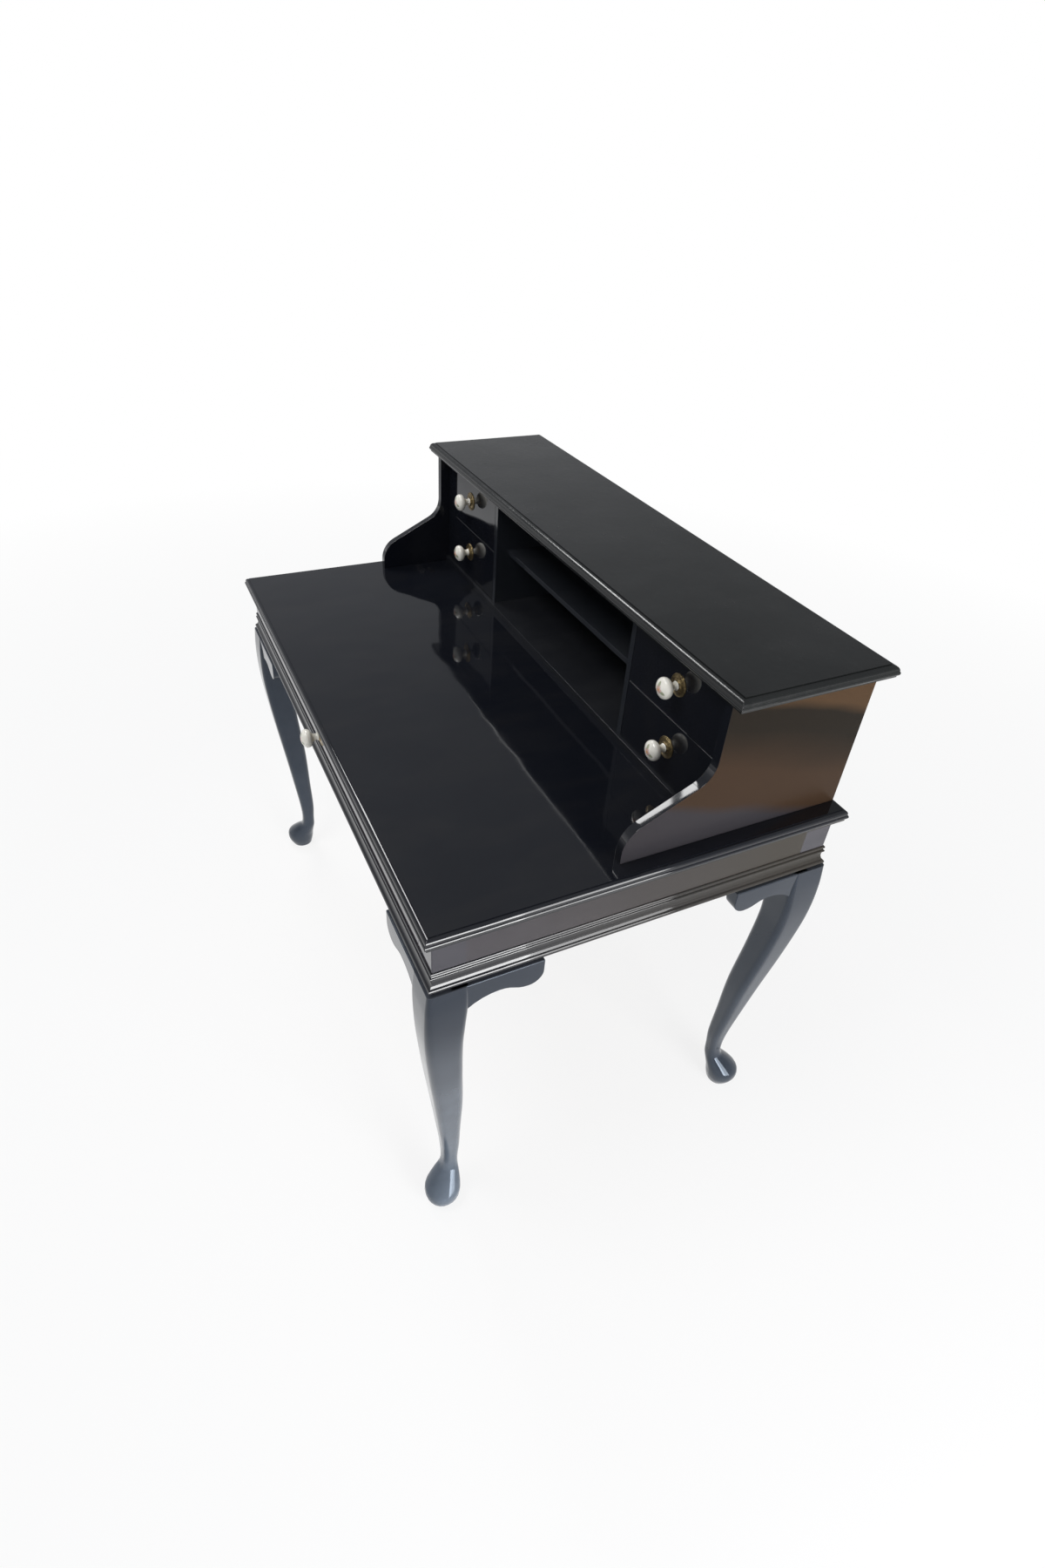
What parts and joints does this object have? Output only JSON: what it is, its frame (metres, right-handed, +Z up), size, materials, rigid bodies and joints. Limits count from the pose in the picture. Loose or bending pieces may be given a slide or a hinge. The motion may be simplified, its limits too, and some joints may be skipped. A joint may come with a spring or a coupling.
{
  "type": "bonheur du jour",
  "caption": "Lady's writing desk on cabriole legs with a long frieze drawer and a low gallery of small drawers either side of open pigeonholes.",
  "frame": {"origin": "on the floor under the middle of the desk's bounding box", "axes": "+Z up, +X to the right of a person who sits at the desk, -Y towards that person"},
  "size_m": [1.146, 0.7372, 1.021],
  "materials": {
    "black_lacquer": "high gloss black lacquer over wood",
    "drawer_oak": "waxed oak drawer linings",
    "pine": "bare pine, inside only",
    "porcelain": "glazed white porcelain with a small flower print",
    "knob_brass": "aged brass",
    "steel_screw": "plain steel"
  },
  "bodies": {
    "desk": {"table_top": "black_lacquer", "gallery_top": "black_lacquer", "gallery_back": "black_lacquer", "gallery_base_board": "black_lacquer", "centre_shelf": "black_lacquer", "leg_front_left": "black_lacquer", "leg_front_right": "black_lacquer", "leg_rear_left": "black_lacquer", "leg_rear_right": "black_lacquer", "knee_brackets_front_left": "black_lacquer", "knee_brackets_front_right": "black_lacquer", "knee_brackets_rear_left": "black_lacquer", "knee_brackets_rear_right": "black_lacquer", "frieze_rail_back": "black_lacquer", "frieze_rail_left": "black_lacquer", "frieze_rail_right": "black_lacquer", "front_rail_lower": "black_lacquer", "front_rail_upper": "black_lacquer", "cornice_moulding_front": "black_lacquer", "cornice_moulding_right": "black_lacquer", "cornice_moulding_back": "black_lacquer", "cornice_moulding_left": "black_lacquer", "base_moulding_front": "black_lacquer", "base_moulding_right": "black_lacquer", "base_moulding_back": "black_lacquer", "base_moulding_left": "black_lacquer", "end_panel_left": "black_lacquer", "end_panel_right": "black_lacquer", "partition_left": "black_lacquer", "partition_right": "black_lacquer", "dust_boards": "black_lacquer", "frieze_drawer_runners": "pine", "frieze_drawer_kickers": "pine", "table_top_glue_blocks": "pine", "gallery_screws": "steel_screw"},
    "frieze_drawer": {"frieze_drawer_front": "black_lacquer", "frieze_drawer_box": "drawer_oak", "frieze_drawer_bottom": "drawer_oak", "frieze_drawer_knob": "porcelain", "frieze_drawer_knob_fitting": "knob_brass"},
    "lower_left_drawer": {"lower_left_drawer_front": "black_lacquer", "lower_left_drawer_box": "drawer_oak", "lower_left_drawer_bottom": "drawer_oak", "lower_left_drawer_knob": "porcelain", "lower_left_drawer_knob_fitting": "knob_brass"},
    "upper_left_drawer": {"upper_left_drawer_front": "black_lacquer", "upper_left_drawer_box": "drawer_oak", "upper_left_drawer_bottom": "drawer_oak", "upper_left_drawer_knob": "porcelain", "upper_left_drawer_knob_fitting": "knob_brass"},
    "lower_right_drawer": {"lower_right_drawer_front": "black_lacquer", "lower_right_drawer_box": "drawer_oak", "lower_right_drawer_bottom": "drawer_oak", "lower_right_drawer_knob": "porcelain", "lower_right_drawer_knob_fitting": "knob_brass"},
    "upper_right_drawer": {"upper_right_drawer_front": "black_lacquer", "upper_right_drawer_box": "drawer_oak", "upper_right_drawer_bottom": "drawer_oak", "upper_right_drawer_knob": "porcelain", "upper_right_drawer_knob_fitting": "knob_brass"}
  },
  "joints": [
    {"name": "frieze_drawer_slide", "type": "slide", "parent": "desk", "child": "frieze_drawer", "axis": [0, -1, 0], "range_m": [0, 0.38]},
    {"name": "lower_left_drawer_slide", "type": "slide", "parent": "desk", "child": "lower_left_drawer", "axis": [0, -1, 0], "range_m": [0, 0.17]},
    {"name": "upper_left_drawer_slide", "type": "slide", "parent": "desk", "child": "upper_left_drawer", "axis": [0, -1, 0], "range_m": [0, 0.17]},
    {"name": "lower_right_drawer_slide", "type": "slide", "parent": "desk", "child": "lower_right_drawer", "axis": [0, -1, 0], "range_m": [0, 0.17]},
    {"name": "upper_right_drawer_slide", "type": "slide", "parent": "desk", "child": "upper_right_drawer", "axis": [0, -1, 0], "range_m": [0, 0.17]}
  ]
}
